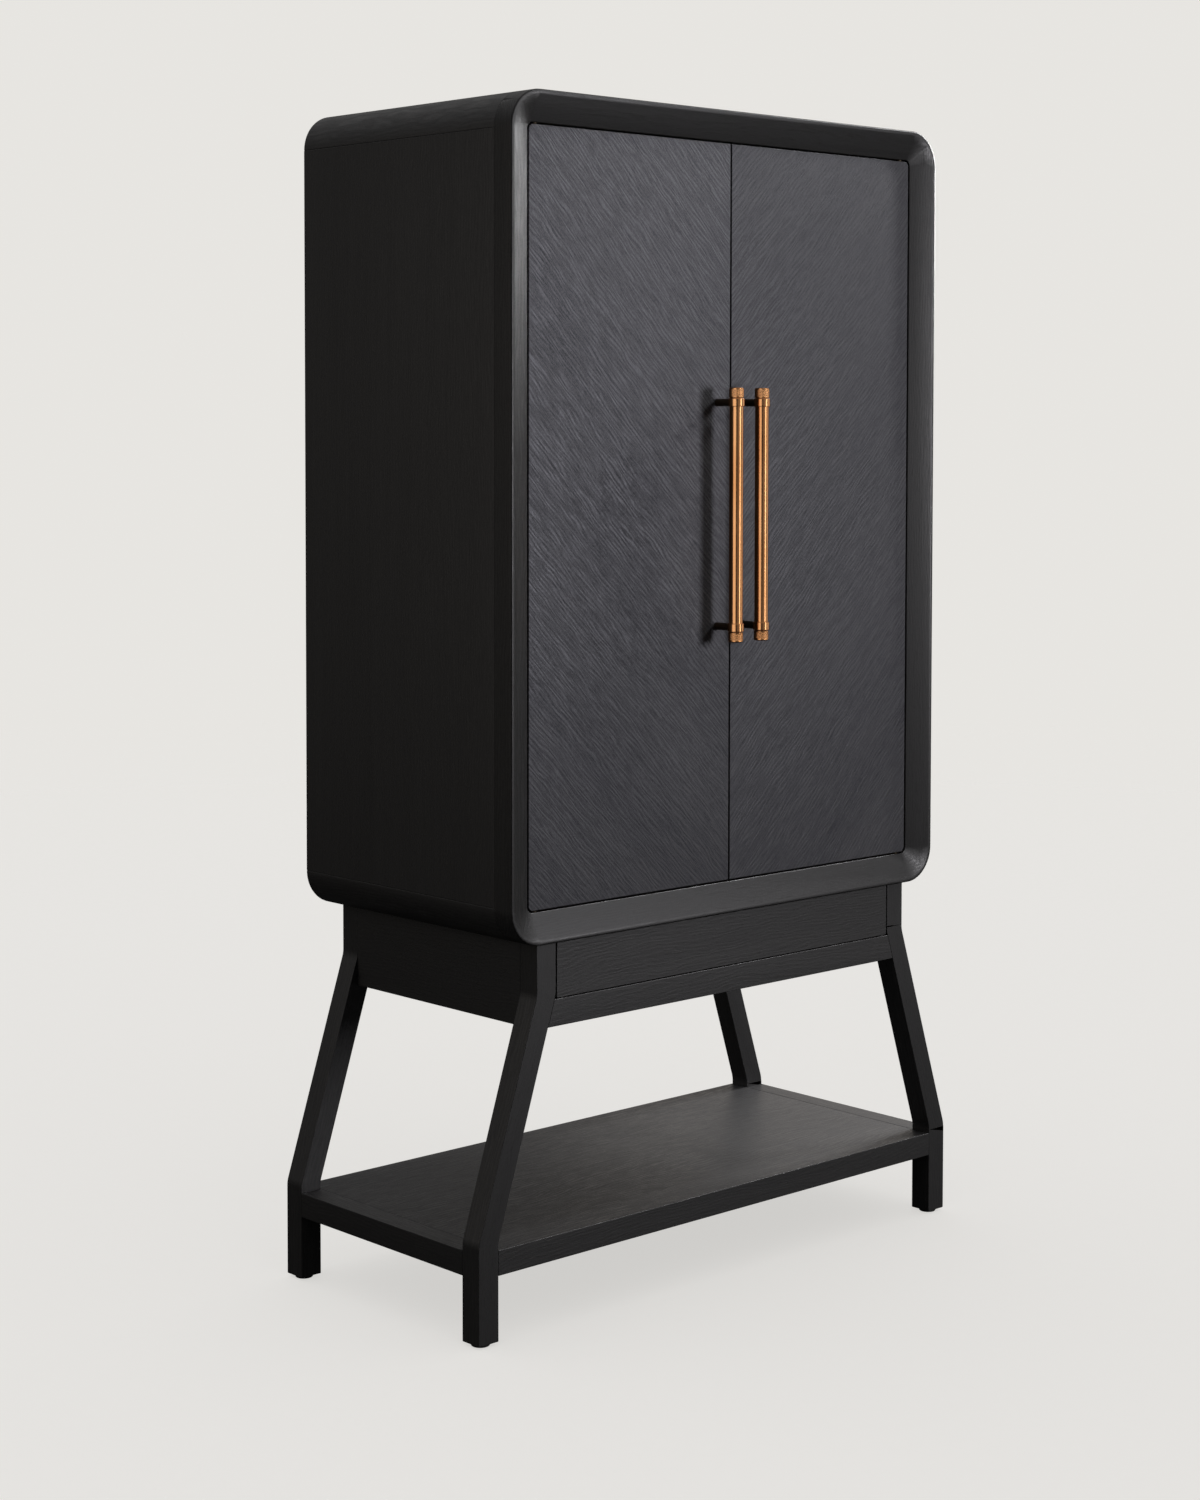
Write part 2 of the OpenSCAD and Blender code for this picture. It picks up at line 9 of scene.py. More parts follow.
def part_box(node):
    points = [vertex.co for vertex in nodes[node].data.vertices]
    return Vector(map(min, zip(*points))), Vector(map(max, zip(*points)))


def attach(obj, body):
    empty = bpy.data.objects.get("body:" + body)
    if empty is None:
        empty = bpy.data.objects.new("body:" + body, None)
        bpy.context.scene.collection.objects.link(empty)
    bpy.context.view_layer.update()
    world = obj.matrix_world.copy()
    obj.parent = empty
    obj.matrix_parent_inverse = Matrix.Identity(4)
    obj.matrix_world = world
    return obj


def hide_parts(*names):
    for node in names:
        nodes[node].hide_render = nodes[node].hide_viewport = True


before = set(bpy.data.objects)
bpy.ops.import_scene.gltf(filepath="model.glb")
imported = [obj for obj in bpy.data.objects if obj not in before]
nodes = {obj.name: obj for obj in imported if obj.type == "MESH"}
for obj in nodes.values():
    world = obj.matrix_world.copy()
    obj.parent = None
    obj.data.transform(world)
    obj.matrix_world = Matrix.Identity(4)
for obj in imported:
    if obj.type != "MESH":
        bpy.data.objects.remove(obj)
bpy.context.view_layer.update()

MM = 0.001

# Grain directions, as the turn that brings the grain onto X
ALONG_X = (0.0, 0.0, 0.0)
ALONG_Y = (0.0, 0.0, -math.pi / 2)
ALONG_Z = (0.0, math.pi / 2, 0.0)
FALLING = (0.0, -math.pi / 4, 0.0)
RISING = (0.0, math.pi / 4, 0.0)

# Oak: distance between the fine lines, and how far noise moves them, in radians of their wave
LINE_PITCH = 6.2 * MM
LINE_WANDER = 16.0

# Oak: how far the whole grain sways and ripples, the depth of its bump, and the pores' colour
SWAY = 30 * MM
RIPPLE = 1 * MM
BUMP_DEPTH = 0.45 * MM
PORE_COLOUR = (0.004, 0.0037, 0.0036, 1.0)

# Oak of single parts, where it differs from the case
FRAME_OAK = dict(dark=0.002, light=0.028, relief=0.12, satin=0.30, dull=0.2, shine=0.34)
DOOR_OAK = dict(
    dark=0.001, light=0.044, relief=0.55, waviness=0.6,
    satin=0.38, dull=0.30, tint=(0.84, 0.84, 1.0), shine=0.5,
)
STAND_OAK = dict(dark=0.002, light=0.032, relief=0.3, waviness=1.8, dull=0.22)
INSIDE_OAK = dict(dark=0.009, light=0.022)

# Eased edges: finding the arrises
SHARP_ANGLE = math.radians(32)
HOLE_SIZE = 60 * MM
WELD = 5e-6

# Eased edges: widths
CASE_EASE = 0.9 * MM
FRAME_EASE = 0.5 * MM
DOOR_EASE = 1.2 * MM
LEG_EASE = 1.1 * MM
RAIL_EASE = 0.9 * MM
SIDE_EASE = 0.8 * MM
INSIDE_EASE = 0.6 * MM

# Front frame: outer corner radius, and how near a mitre plane an arris counts as in it
FRAME_CORNER = 57 * MM
MITRE_REACH = 0.2 * MM

# Legs: thickness and the heights of the two bends
LEG_SIDE = 38 * MM
UPPER_BEND = 0.504
LOWER_BEND = 0.153

# Handles: how far the caps run onto the bar, their neck, their rounded end and their knurls
SPIGOT = 10 * MM
NECK = 1.2 * MM
CAP_ROUND = 1.6 * MM
KNURLS_AROUND = 40
KNURL_STEPS = 5
KNURL_PITCH = 1.7 * MM
KNURL_DEPTH = 0.45 * MM

# Studio: what the lights aim at
DOORS = (0.0, -0.214, 1.20)
LOW_RAIL = (0.0, -0.22, 0.60)
LEFT_FACE = (-0.47, 0.0, 0.95)
RIGHT_EDGE = (0.42, -0.23, 1.20)
LOW_SHELF = (0.4, 0.0, 0.1)

# Studio: colours of the lights that aren't white
WARM = (1.0, 0.93, 0.82)
WARMER = (1.0, 0.90, 0.80)
NEAR_WHITE = (1.0, 0.99, 0.985)


# ---------- materials ----------

class Graph:
    """The node tree of one material, with short ways to add to it."""

    def __init__(self, name):
        self.material = bpy.data.materials.new(name)
        self.material.use_nodes = True
        self.tree = self.material.node_tree
        self.shader = self.tree.nodes["Principled BSDF"]

    def put(self, socket, value):
        if isinstance(value, bpy.types.NodeSocket):
            self.tree.links.new(value, socket)
        else:
            socket.default_value = value

    def add(self, kind, inputs=None, **settings):
        node = self.tree.nodes.new("ShaderNode" + kind)
        for key, value in settings.items():
            setattr(node, key, value)
        for key, value in (inputs or {}).items():
            self.put(node.inputs[key], value)
        return node

    def math(self, operation, a, b=0.0):
        return self.add("Math", {0: a, 1: b}, operation=operation).outputs[0]

    def vector_math(self, operation, a, b=(0.0, 0.0, 0.0)):
        return self.add("VectorMath", {0: a, 1: b}, operation=operation).outputs[0]

    def object_point(self):
        return self.add("TexCoord").outputs["Object"]

    def turned(self, point, turn, shift=(0.0, 0.0, 0.0)):
        values = {"Vector": point, "Rotation": turn, "Location": shift}
        return self.add("Mapping", values).outputs[0]

    def noise(self, point, stretch, detail=2.0, roughness=0.5):
        scaled = self.vector_math("MULTIPLY", point, stretch)
        values = {"Vector": scaled, "Scale": 1.0, "Detail": detail, "Roughness": roughness}
        return self.add("TexNoise", values).outputs["Fac"]

    def weighted(self, *parts):
        """The sum of (value, share) pairs, each value times its share."""
        total = None
        for value, share in parts:
            term = self.math("MULTIPLY", value, share)
            total = term if total is None else self.math("ADD", total, term)
        return total

    def band(self, value, low, high, to_low=0.0, to_high=1.0):
        """Maps value from low..high to to_low..to_high, held at both ends."""
        values = {
            "Value": value, "From Min": low, "From Max": high,
            "To Min": to_low, "To Max": to_high,
        }
        return self.add("MapRange", values).outputs["Result"]

    def blend(self, share, first, second):
        """A colour from first, where share is 0, to second, where it is 1."""
        node = self.add("Mix", data_type="RGBA")
        self.put(node.inputs[0], share)
        self.put(node.inputs[6], first)
        self.put(node.inputs[7], second)
        return node.outputs[2]

    def bump(self, height, distance, strength=1.0):
        values = {"Height": height, "Distance": distance, "Strength": strength}
        return self.add("Bump", values).outputs[0]

    def surface(self, **values):
        """Sets the shader's sockets, named in lower case with underscores."""
        for key, value in values.items():
            socket = key.replace("_", " ").title().replace("Ior", "IOR")
            self.put(self.shader.inputs[socket], value)
        return self.material


def leaning(graph, point, lean):
    """Moves points sideways so that straight grain follows a leg through its bends."""
    parts = graph.add("SeparateXYZ", {0: point})
    sideways = graph.band(parts.outputs["Z"], LOWER_BEND, UPPER_BEND, lean, 0.0)
    straight_x = graph.math("SUBTRACT", parts.outputs["X"], sideways)
    values = {"X": straight_x, "Y": parts.outputs["Y"], "Z": parts.outputs["Z"]}
    return graph.add("CombineXYZ", values).outputs[0]


def grain_point(graph, turn, shift, lean, waviness):
    """The object's point with its grain turned onto X, at its own place in a swaying wood."""
    point = graph.object_point()
    if lean:
        point = leaning(graph, point, lean)
    random_shift = graph.add("ObjectInfo").outputs["Random"]
    own_place = graph.add("CombineXYZ", {"X": random_shift, "Y": random_shift}).outputs[0]
    point = graph.vector_math("ADD", graph.turned(point, turn, shift), own_place)
    sway = graph.math("SUBTRACT", graph.noise(point, (1.6, 4.0, 4.0)), 0.5)
    ripple = graph.math("SUBTRACT", graph.noise(point, (12.0, 20.0, 20.0), 1.0), 0.5)
    across = graph.weighted((sway, SWAY * waviness), (ripple, RIPPLE * waviness))
    sideways = graph.add("CombineXYZ", {"Y": across, "Z": across}).outputs[0]
    return graph.vector_math("ADD", point, sideways)


def cut_grain(graph, point):
    """The cut wood from 0 to 1: streaks, fine lines that come and go in patches, and tooth."""
    streak = graph.noise(point, (42.0, 850.0, 850.0), 0.5)
    wobble = graph.noise(point, (16.0, 60.0, 60.0), 1.0)
    patch = graph.noise(point, (24.0, 90.0, 90.0), 1.0)
    tooth = graph.noise(point, (420.0, 420.0, 420.0), 1.0)
    coords = graph.add("SeparateXYZ", {0: point}).outputs
    place_across = graph.math("ADD", coords["Y"], coords["Z"])
    phase = graph.weighted((place_across, 2 * math.pi / LINE_PITCH), (wobble, LINE_WANDER))
    fine_lines = graph.band(graph.math("SINE", phase), -0.7, 0.7)
    strength = graph.band(patch, 0.38, 0.58, 0.3, 1.0)
    patchy_lines = graph.math("MULTIPLY", fine_lines, strength)
    return graph.weighted(
        (graph.band(streak, 0.40, 0.56), 0.28),
        (patchy_lines, 0.47),
        (graph.band(tooth, 0.40, 0.60), 0.25),
    )


def oak(name, turn, shift, dark=0.004, light=0.026, relief=0.2, lean=0.0, waviness=1.0,
        satin=0.36, dull=0.18, tint=(0.96, 0.95, 1.0), shine=0.48):
    """Black-stained open-pored oak, with its grain along X once the point is turned.

    satin is the roughness of the light grain, and dull is what the dark grain adds to it.
    """
    graph = Graph(name)
    point = grain_point(graph, turn, shift, lean, waviness)
    cut = cut_grain(graph, point)
    leaves = graph.noise(point, (0.6, 8.0, 8.0), 1.0)
    figure = graph.noise(point, (2.5, 60.0, 60.0))
    pores = graph.noise(point, (70.0, 1400.0, 1400.0), 1.0)
    pore_mask = graph.band(pores, 0.42, 0.32)
    tone = graph.weighted(
        (graph.band(figure, 0.3, 0.7), 0.15),
        (cut, 0.70),
        (graph.band(leaves, 0.35, 0.65), 0.15),
    )
    dark_colour = (dark, dark * 0.95, dark * 0.93, 1.0)
    light_colour = (light, light * 0.97, light * 0.96, 1.0)
    colour = graph.blend(tone, dark_colour, light_colour)
    colour = graph.blend(graph.math("MULTIPLY", pore_mask, 0.6), colour, PORE_COLOUR)
    height = graph.weighted((cut, 0.8), (pore_mask, -0.15))
    return graph.surface(
        base_color=colour,
        roughness=graph.band(cut, 0.0, 1.0, satin + dull, satin),
        normal=graph.bump(height, BUMP_DEPTH * relief),
        ior=1.5,
        specular_ior_level=shine,
        specular_tint=(*tint, 1.0),
    )


def brushed_metal(name, dark, light, roughness, along, wear=0.25):
    """Metal with fine brush lines along one axis, a soft patina and, with wear, duller specks."""
    graph = Graph(name)
    point = graph.turned(graph.object_point(), along)
    lines = graph.noise(point, (6.0, 1500.0, 1500.0), 2.0, 0.6)
    patina = graph.noise(point, (9.0, 30.0, 30.0))
    tone = graph.weighted((patina, 0.75), (lines, 0.25))
    colour = graph.blend(graph.band(tone, 0.3, 0.7), (*dark, 1.0), (*light, 1.0))
    if wear:
        specks = graph.noise(point, (900.0, 900.0, 900.0))
        spot = graph.math("MULTIPLY", graph.band(specks, 0.68, 0.78), wear)
        colour = graph.blend(spot, colour, (*[c * 0.45 for c in dark], 1.0))
    uneven = graph.weighted((lines, 0.05), (patina, 0.05))
    return graph.surface(
        base_color=colour,
        roughness=graph.math("ADD", uneven, roughness - 0.05),
        metallic=1.0,
    )


def moulded_plastic(name, colour):
    """Fine-grained moulded nylon."""
    graph = Graph(name)
    point = graph.object_point()
    grain = graph.noise(point, (1400.0, 1400.0, 1400.0))
    cloud = graph.noise(point, (60.0, 60.0, 60.0))
    lighter = tuple(c * 1.5 for c in colour)
    return graph.surface(
        base_color=graph.blend(cloud, (*colour, 1.0), (*lighter, 1.0)),
        roughness=graph.band(grain, 0.3, 0.7, 0.42, 0.58),
        normal=graph.bump(grain, 0.04 * MM, 0.6),
    )


def paint_node(name, material):
    data = nodes[name].data
    data.materials.clear()
    data.materials.append(material)


# ---------- eased edges ----------

def point_key(co):
    return tuple(round(c / WELD) for c in co)


def shared_edges(mesh):
    """Edges by the places of their ends, each with the (normal, centre) of the faces at it."""
    keys = [point_key(v.co) for v in mesh.vertices]
    found = {}
    for face in mesh.polygons:
        corners = [keys[i] for i in face.vertices]
        for i, corner in enumerate(corners):
            pair = frozenset((corner, corners[i - 1]))
            found.setdefault(pair, []).append((face.normal.copy(), face.center.copy()))
    return keys, found


def outer_arrises(sharp):
    """The convex sharp edges that belong to an outline, and not to a small hole or pocket."""
    joined = {}
    for pair in sharp:
        for key in pair:
            joined.setdefault(key, []).append(pair)
    seen = set()
    kept = set()
    for first in sharp:
        if first in seen:
            continue
        seen.add(first)
        group = [first]
        for pair in group:
            for key in pair:
                for other in joined[key]:
                    if other not in seen:
                        seen.add(other)
                        group.append(other)
        spots = [key for pair in group for key in pair]
        spread = max(max(s[i] for s in spots) - min(s[i] for s in spots) for i in range(3))
        if spread * WELD >= HOLE_SIZE:
            kept.update(group)
    return kept


def ease(name, width, segments=2, skip=None):
    """Rounds a CAD node's outer arrises with modifiers; its own mesh keeps every vertex.

    With no width, every arris stays crisp. skip(a, b) says which arrises aren't rounded.
    """
    obj = nodes[name]
    mesh = obj.data
    keys, found = shared_edges(mesh)
    sharp = {}
    for pair, faces in found.items():
        if len(faces) == 2 and len(pair) == 2:
            (n1, c1), (n2, c2) = faces
            if n1.angle(n2, 0.0) > SHARP_ANGLE:
                sharp[pair] = (c2 - c1).dot(n1) < 0
    outline = outer_arrises({pair for pair, convex in sharp.items() if convex})
    if skip:
        outline = {p for p in outline if not skip(*[Vector(k) * WELD for k in p])}
    weights = [0.0] * len(mesh.edges)
    creases = [False] * len(mesh.edges)
    for edge in mesh.edges:
        pair = frozenset(keys[i] for i in edge.vertices)
        weights[edge.index] = 1.0 if pair in outline else 0.0
        creases[edge.index] = pair in sharp and (pair not in outline or not width)
    set_edge_values(mesh, "bevel_weight_edge", "FLOAT", weights)
    set_edge_values(mesh, "sharp_edge", "BOOLEAN", creases)
    drop_custom_normals(mesh)
    weld = obj.modifiers.new("weld", "WELD")
    weld.merge_threshold = WELD
    if width:
        bevel = obj.modifiers.new("eased edges", "BEVEL")
        bevel.limit_method = "WEIGHT"
        bevel.width = width
        bevel.segments = segments
        bevel.use_clamp_overlap = False
    normals = obj.modifiers.new("normals", "WEIGHTED_NORMAL")
    normals.keep_sharp = True


def set_edge_values(mesh, name, kind, values):
    layer = mesh.attributes.get(name) or mesh.attributes.new(name, kind, "EDGE")
    layer.data.foreach_set("value", values)


def drop_custom_normals(mesh):
    layer = mesh.attributes.get("custom_normal")
    if layer:
        mesh.attributes.remove(layer)
    mesh.polygons.foreach_set("use_smooth", [True] * len(mesh.polygons))


# ---------- new pieces ----------

def mesh_object(name, bm, material):
    mesh = bpy.data.meshes.new(name)
    bm.to_mesh(mesh)
    bm.free()
    mesh.materials.append(material)
    obj = bpy.data.objects.new(name, mesh)
    bpy.context.scene.collection.objects.link(obj)
    return obj


def new_piece(name, bm, material, body):
    bmesh.ops.recalc_face_normals(bm, faces=bm.faces)
    piece = mesh_object(name, bm, material)
    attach(piece, body)
    return piece


def diamond(turn, rise):
    """Height of a diamond knurl from 0 to 1, with its two sets of grooves."""
    first = abs(2 * ((turn + rise) % 1.0) - 1)
    second = abs(2 * ((turn - rise) % 1.0) - 1)
    return 1 - max(first, second) ** 3


def cap_rings(length, radius):
    """(height, radius, knurl depth) of each ring of a cap, from the collar to the end face."""
    rings = [(0.0, radius - NECK, 0.0), (NECK / 2, radius - NECK, 0.0)]
    low = NECK
    high = length - CAP_ROUND
    rows = round((high - low) / KNURL_PITCH * KNURL_STEPS)
    for i in range(rows + 1):
        t = i / rows
        fade = min(1.0, 8 * t, 8 * (1 - t))
        rings.append((low + (high - low) * t, radius, KNURL_DEPTH * fade))
    for i in range(1, 6):
        angle = math.radians(18 * i)
        rise = CAP_ROUND * math.sin(angle)
        rings.append((high + rise, radius - CAP_ROUND * (1 - math.cos(angle)), 0.0))
    return rings


def add_cap(bm, axis_x, axis_y, start, end, radius):
    """Adds a knurled cap about a vertical axis, with its collar at start."""
    steps = KNURLS_AROUND * KNURL_STEPS
    direction = 1 if end > start else -1
    rings = []
    for height, ring_radius, depth in cap_rings(abs(end - start), radius):
        ring = []
        for i in range(steps):
            angle = 2 * math.pi * i / steps
            turn = KNURLS_AROUND * i / steps
            here = ring_radius - depth * (1 - diamond(turn, height / KNURL_PITCH / 2))
            x = axis_x + here * math.cos(angle)
            y = axis_y + here * math.sin(angle)
            ring.append(bm.verts.new((x, y, start + direction * height)))
        rings.append(ring)
    for low, high in zip(rings, rings[1:]):
        for i in range(steps):
            j = (i + 1) % steps
            bm.faces.new((low[i], low[j], high[j], high[i])).smooth = True
    for ring in (rings[0], rings[-1]):
        bm.faces.new(ring)


def handle_caps(side, material):
    """Knurled end caps of one handle, in place of the plain ones."""
    low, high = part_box("handle_caps_" + side)
    bar_low, bar_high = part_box("handle_bar_" + side)
    centre = (low + high) / 2
    radius = (high.x - low.x) / 2
    bm = bmesh.new()
    add_cap(bm, centre.x, centre.y, bar_high.z - SPIGOT, high.z, radius)
    add_cap(bm, centre.x, centre.y, bar_low.z + SPIGOT, low.z, radius)
    piece = new_piece("knurled_caps_" + side, bm, material, side + "_door")
    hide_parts("handle_caps_" + side)
    return piece


# ---------- the cabinet ----------

def leg_lean(name):
    """How far a leg runs outwards between its bends, with its sign."""
    low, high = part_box(name)
    run = high.x - low.x - LEG_SIDE
    return run if low.x > 0 else -run


def on_mitre(a, b):
    """True for an arris in a mitre plane of the front frame."""
    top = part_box("frame_rail_top")[1].z
    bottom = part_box("frame_rail_bottom")[0].z
    half_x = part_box("case_side_right")[1].x - FRAME_CORNER
    half_z = (top - bottom) / 2 - FRAME_CORNER
    mid_z = (top + bottom) / 2

    def offset(p):
        return (abs(p.x) - half_x) - (abs(p.z - mid_z) - half_z)

    return abs(offset(a)) < MITRE_REACH and abs(offset(b)) < MITRE_REACH


def dress(name, wood, width, segments=2, skip=None):
    paint_node(name, wood)
    ease(name, width, segments, skip)


def dress_case():
    across = oak("oak_case_across", ALONG_X, (0.3, 0.1, 0.0))
    upright = oak("oak_case_upright", ALONG_Z, (1.3, 0.7, 0.2))
    staves = oak("oak_case_staves", ALONG_Y, (2.1, 0.4, 0.9))
    for up in ("top", "bottom"):
        dress("case_" + up, across, CASE_EASE)
        for side in ("left", "right"):
            dress(f"corner_stave_{up}_{side}", staves, CASE_EASE)
    for side in ("left", "right"):
        dress("case_side_" + side, upright, CASE_EASE)


def dress_front():
    for up in ("top", "bottom"):
        rail = oak("oak_frame_" + up, ALONG_X, (8.1, len(up), 0.4), **FRAME_OAK)
        dress("frame_rail_" + up, rail, FRAME_EASE, skip=on_mitre)
    for side, turn in (("left", FALLING), ("right", RISING)):
        stile = oak("oak_frame_" + side, ALONG_Z, (9.3, len(side), 0.7), **FRAME_OAK)
        dress("frame_stile_" + side, stile, FRAME_EASE, skip=on_mitre)
        veneer = oak("veneer_" + side, turn, (3.7 * len(side), 0.6, 0.3), **DOOR_OAK)
        dress("door_" + side, veneer, DOOR_EASE, segments=3)


def dress_stand():
    across = oak("oak_stand_across", ALONG_X, (6.4, 2.2, 0.8), **STAND_OAK)
    deep = oak("oak_stand_deep", ALONG_Y, (7.4, 1.7, 0.1))
    for side in ("left", "right"):
        for place in ("front", "back"):
            name = f"leg_{place}_{side}"
            wood = oak("oak_" + name, ALONG_Z, (len(name), 0.3, 1.9), lean=leg_lean(name))
            dress(name, wood, LEG_EASE, segments=3)
        for name in ("apron_", "low_shelf_end_"):
            dress(name + side, deep, SIDE_EASE)
    for name in ("front_rail", "apron_back", "low_shelf_panel", "drawer_front"):
        dress(name, across, RAIL_EASE)


def dress_inside():
    across = oak("oak_inside_across", ALONG_X, (4.1, 0.2, 0.5), **INSIDE_OAK)
    deep = oak("oak_inside_deep", ALONG_Y, (5.2, 1.2, 0.3), **INSIDE_OAK)
    for name in ("drawer_side_left", "drawer_side_right", "runner_cleats"):
        dress(name, deep, SIDE_EASE)
    for name in ("inner_shelves", "drawer_back", "drawer_bottom"):
        dress(name, across, INSIDE_EASE)
    dress("back_panel", across, 0.0)


def dress_metal():
    """Finishes everything that isn't wood, and returns the pieces of the two handles."""
    brass = brushed_metal("brass", (0.50, 0.22, 0.085), (0.62, 0.31, 0.14), 0.22, ALONG_Z, 0.0)
    bronze = brushed_metal("bronze", (0.035, 0.024, 0.016), (0.11, 0.075, 0.05), 0.42, ALONG_Y)
    hinge_bronze = brushed_metal(
        "hinge_bronze", (0.030, 0.024, 0.018), (0.075, 0.058, 0.042), 0.45, ALONG_X)
    steel = brushed_metal("steel", (0.42, 0.42, 0.43), (0.68, 0.68, 0.69), 0.3, ALONG_Y)
    plastic = moulded_plastic("black_nylon", (0.012, 0.012, 0.012))
    handle_pieces = []
    for side in ("left", "right"):
        paint_node("handle_bar_" + side, brass)
        paint_node("handle_posts_" + side, bronze)
        handle_pieces += [nodes["handle_bar_" + side], nodes["handle_posts_" + side]]
        handle_pieces.append(handle_caps(side, brass))
    finishes = (
        (steel, (
            "handle_bolts_left", "handle_bolts_right", "strike_plate_left", "strike_plate_right",
            "back_panel_screws", "shelf_pins", "case_bolts",
            "slide_outers", "slide_middles", "slide_inners",
        )),
        (hinge_bronze, (
            "hinge_plates_left", "hinge_plates_right", "hinge_plates_fixed",
            "hinge_screws_left", "hinge_screws_right", "hinge_screws_fixed",
        )),
        (plastic, ("magnet_catches", "floor_glides", "latch_housing", "latch_plunger")),
    )
    for finish, names in finishes:
        for name in names:
            paint_node(name, finish)
    return handle_pieces


# ---------- studio ----------

def pale_floor():
    """A round pale floor that thins out into the pale dome, and lights and reflects nothing."""
    graph = Graph("floor")
    point = graph.object_point()
    distance = graph.add("VectorMath", {0: point}, operation="LENGTH").outputs["Value"]
    speck = graph.noise(point, (40.0, 40.0, 40.0))
    graph.surface(
        base_color=graph.blend(speck, (0.40, 0.393, 0.385, 1.0), (0.43, 0.423, 0.414, 1.0)),
        roughness=0.85,
        alpha=graph.band(distance, 3.0, 8.0, 1.0, 0.0),
        emission_color=(1.0, 0.985, 0.955, 1.0),
        emission_strength=0.615,
    )
    bm = bmesh.new()
    bmesh.ops.create_circle(bm, cap_ends=True, segments=96, radius=9.0)
    floor = mesh_object("floor", bm, graph.material)
    floor.visible_glossy = False
    floor.visible_diffuse = False
    return floor


def pale_dome():
    """A far pale shell that only the camera sees, so that it lights nothing."""
    material = bpy.data.materials.new("dome")
    material.use_nodes = True
    tree = material.node_tree
    tree.nodes.clear()
    glow = tree.nodes.new("ShaderNodeEmission")
    glow.inputs["Color"].default_value = (0.80, 0.785, 0.755, 1.0)
    out = tree.nodes.new("ShaderNodeOutputMaterial")
    tree.links.new(glow.outputs[0], out.inputs["Surface"])
    bm = bmesh.new()
    bmesh.ops.create_uvsphere(bm, u_segments=48, v_segments=24, radius=40.0)
    dome = mesh_object("dome", bm, material)
    for kind in ("diffuse", "glossy", "transmission", "shadow", "volume_scatter"):
        setattr(dome, "visible_" + kind, False)


def room_glow():
    """World light: dim below, soft above."""
    world = bpy.data.worlds.new("room")
    world.use_nodes = True
    bpy.context.scene.world = world
    tree = world.node_tree
    background = tree.nodes["Background"]
    direction = tree.nodes.new("ShaderNodeTexCoord")
    parts = tree.nodes.new("ShaderNodeSeparateXYZ")
    ramp = tree.nodes.new("ShaderNodeValToRGB")
    lift = tree.nodes.new("ShaderNodeMapRange")
    lift.inputs["From Min"].default_value = -1.0
    lift.inputs["From Max"].default_value = 1.0
    tree.links.new(direction.outputs["Generated"], parts.inputs[0])
    tree.links.new(parts.outputs["Z"], lift.inputs["Value"])
    tree.links.new(lift.outputs["Result"], ramp.inputs["Fac"])
    tree.links.new(ramp.outputs["Color"], background.inputs["Color"])
    stops = ramp.color_ramp.elements
    stops[0].position = 0.42
    stops[0].color = (0.020, 0.020, 0.020, 1.0)
    stops[1].position = 0.95
    stops[1].color = (0.57, 0.565, 0.56, 1.0)
    middle = stops.new(0.55)
    middle.color = (0.06, 0.059, 0.057, 1.0)


def area_light(name, place, target, size, power, colour=(1.0, 1.0, 1.0)):
    """A rectangular light of so many watts at place, facing target."""
    data = bpy.data.lights.new(name, "AREA")
    data.shape = "RECTANGLE"
    data.size, data.size_y = size
    data.energy = power
    data.color = colour
    light = bpy.data.objects.new(name, data)
    bpy.context.scene.collection.objects.link(light)
    light.location = place
    light.rotation_euler = (Vector(target) - Vector(place)).to_track_quat("-Z", "Y").to_euler()
    light.visible_camera = False
    return light


def around(target, angle, distance, height):
    """A place in front of target, angle degrees to the right of straight ahead."""
    a = math.radians(angle)
    return (target[0] + distance * math.sin(a), target[1] - distance * math.cos(a), height)


def link(light, pieces, state):
    """INCLUDE: the light falls on these pieces alone. EXCLUDE: on all but these."""
    group = bpy.data.collections.new(light.name)
    for piece in pieces:
        group.objects.link(piece)
    light.light_linking.receiver_collection = group
    for member in group.collection_objects:
        member.light_linking.link_state = state


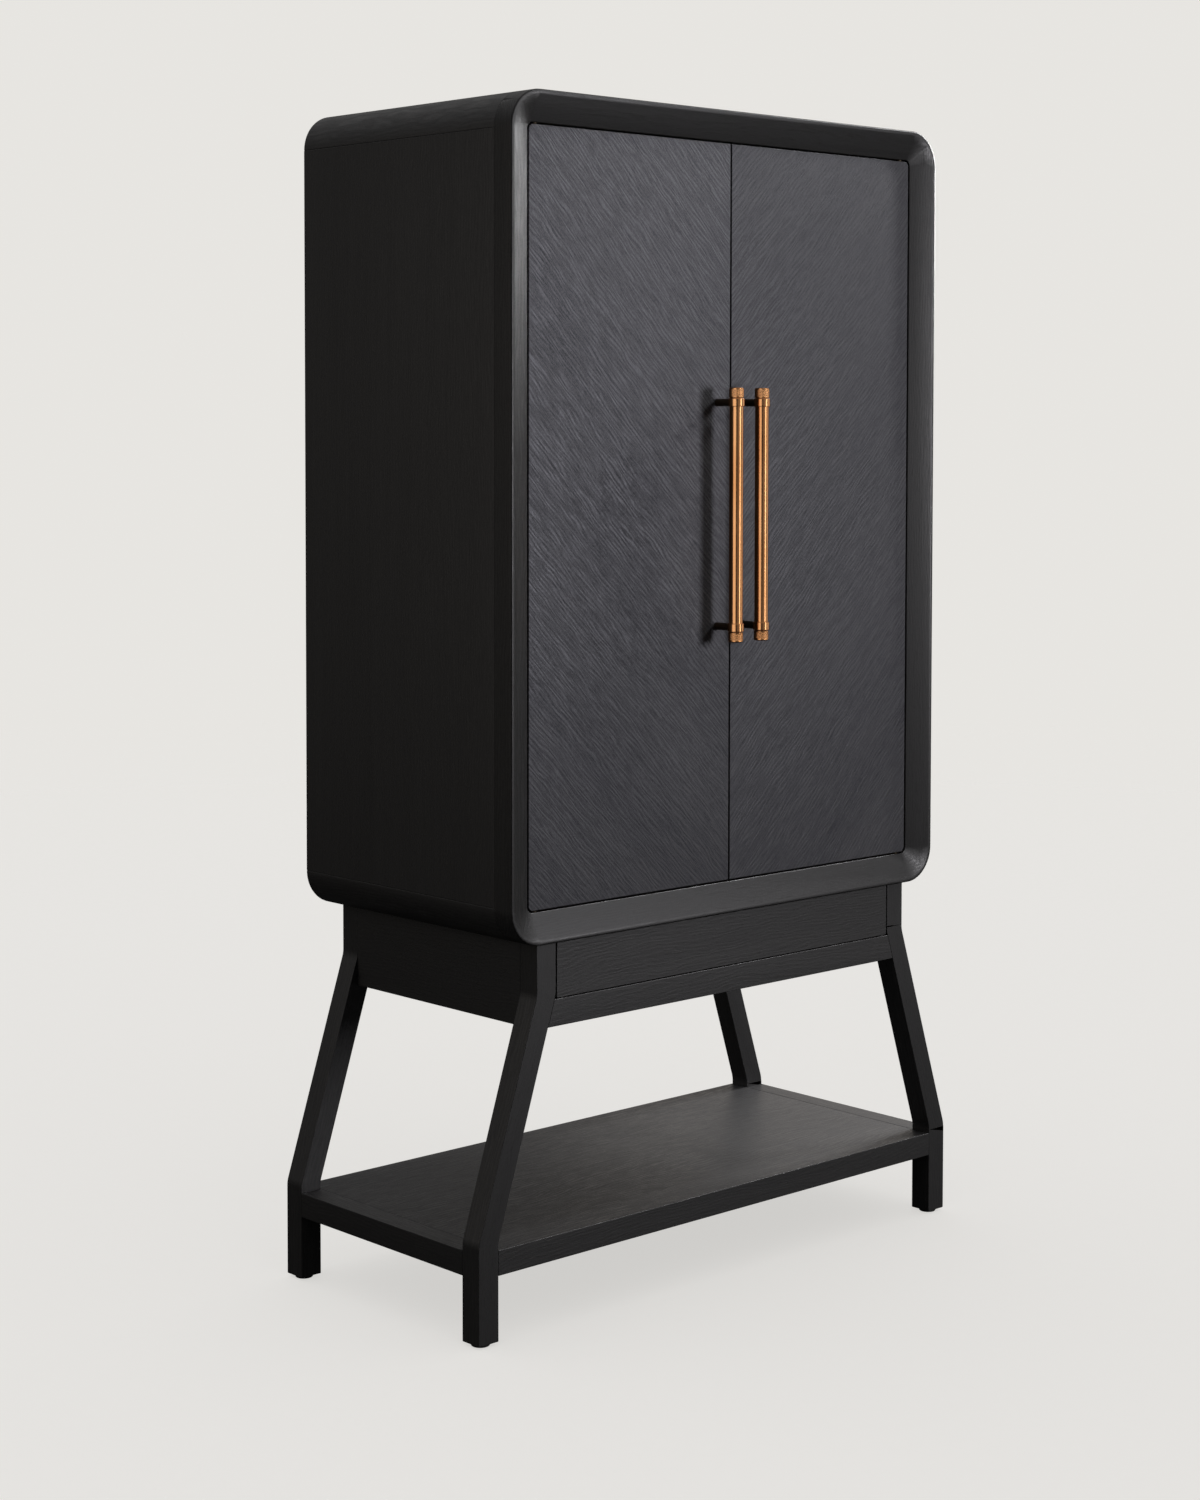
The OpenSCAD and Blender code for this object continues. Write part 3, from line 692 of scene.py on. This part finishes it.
def studio_lights(handle_pieces, floor):
    """Lights on the cabinet, the handles' own lights, and a fill for the back."""
    for light in (
        area_light("key", around(DOORS, 28, 3.6, 1.36), DOORS, (0.80, 1.0), 68, NEAR_WHITE),
        area_light("high side", around(RIGHT_EDGE, 76.8, 2.0, 2.9), DOORS, (0.18, 0.5), 58),
        area_light("far side", around(DOORS, 95, 3.0, 2.2), DOORS, (0.8, 0.9), 150),
        area_light("high right", around(LOW_RAIL, 45, 2.8, 3.0), LOW_RAIL, (1.0, 0.8), 12),
        area_light("left wall", around(LEFT_FACE, -112, 3.0, 1.5), LEFT_FACE, (1.6, 2.0), 10.5, WARM),
        area_light("back wall glow", (3.0, 1.9, 0.8), LOW_SHELF, (2.2, 1.4), 5, WARMER),
    ):
        link(light, [*handle_pieces, floor], "EXCLUDE")
    for light in (
        area_light("handle key", around(DOORS, 22, 3.6, 1.45), DOORS, (0.9, 2.0), 26),
        area_light("handle left", around(DOORS, -78, 3.0, 1.3), DOORS, (3.2, 2.4), 36),
        area_light("handle right", around(DOORS, 65, 3.0, 1.3), DOORS, (2.0, 2.2), 11),
        area_light("handle front", around(DOORS, -5, 4.0, 1.3), DOORS, (3.0, 2.4), 6),
    ):
        link(light, handle_pieces, "INCLUDE")
    back_fill = area_light("back fill", around(DOORS, 180, 3.6, 1.7), DOORS, (0.8, 1.6), 30)
    back_names = ("back_panel", "back_panel_screws", "apron_back", "leg_back_left", "leg_back_right")
    link(back_fill, [nodes[name] for name in back_names], "INCLUDE")


def photo_camera():
    """The photo's camera, as solved from the cabinet's edges in it."""
    place = Vector((-3.0108, -3.1770, 1.3512))
    yaw, pitch, roll = (math.radians(a) for a in (42.79, -2.66, 0.08))
    focal = 2683.19  # in pixels, as the next two lines are
    width, height = 1200, 1500
    principal_x, principal_y = 605.09, 549.98
    level = math.cos(pitch)
    ahead = Vector((math.sin(yaw) * level, math.cos(yaw) * level, math.sin(pitch)))
    right = Vector((math.cos(yaw), -math.sin(yaw), 0.0))
    up = right.cross(ahead)
    rolled_right = right * math.cos(roll) + up * math.sin(roll)
    rolled_up = up * math.cos(roll) - right * math.sin(roll)
    data = bpy.data.cameras.new("camera")
    data.sensor_width = 36.0
    data.lens = focal * data.sensor_width / height
    data.shift_x = (width / 2 - principal_x) / height
    data.shift_y = (principal_y - height / 2) / height
    data.clip_end = 200.0
    camera = bpy.data.objects.new("camera", data)
    bpy.context.scene.collection.objects.link(camera)
    turn = Matrix((rolled_right, rolled_up, -ahead)).transposed()
    camera.matrix_world = Matrix.Translation(place) @ turn.to_4x4()
    bpy.context.scene.camera = camera


dress_case()
dress_front()
dress_stand()
dress_inside()
handle_pieces = dress_metal()
floor = pale_floor()
pale_dome()
room_glow()
studio_lights(handle_pieces, floor)
photo_camera()
bpy.context.scene.view_settings.view_transform = "Standard"
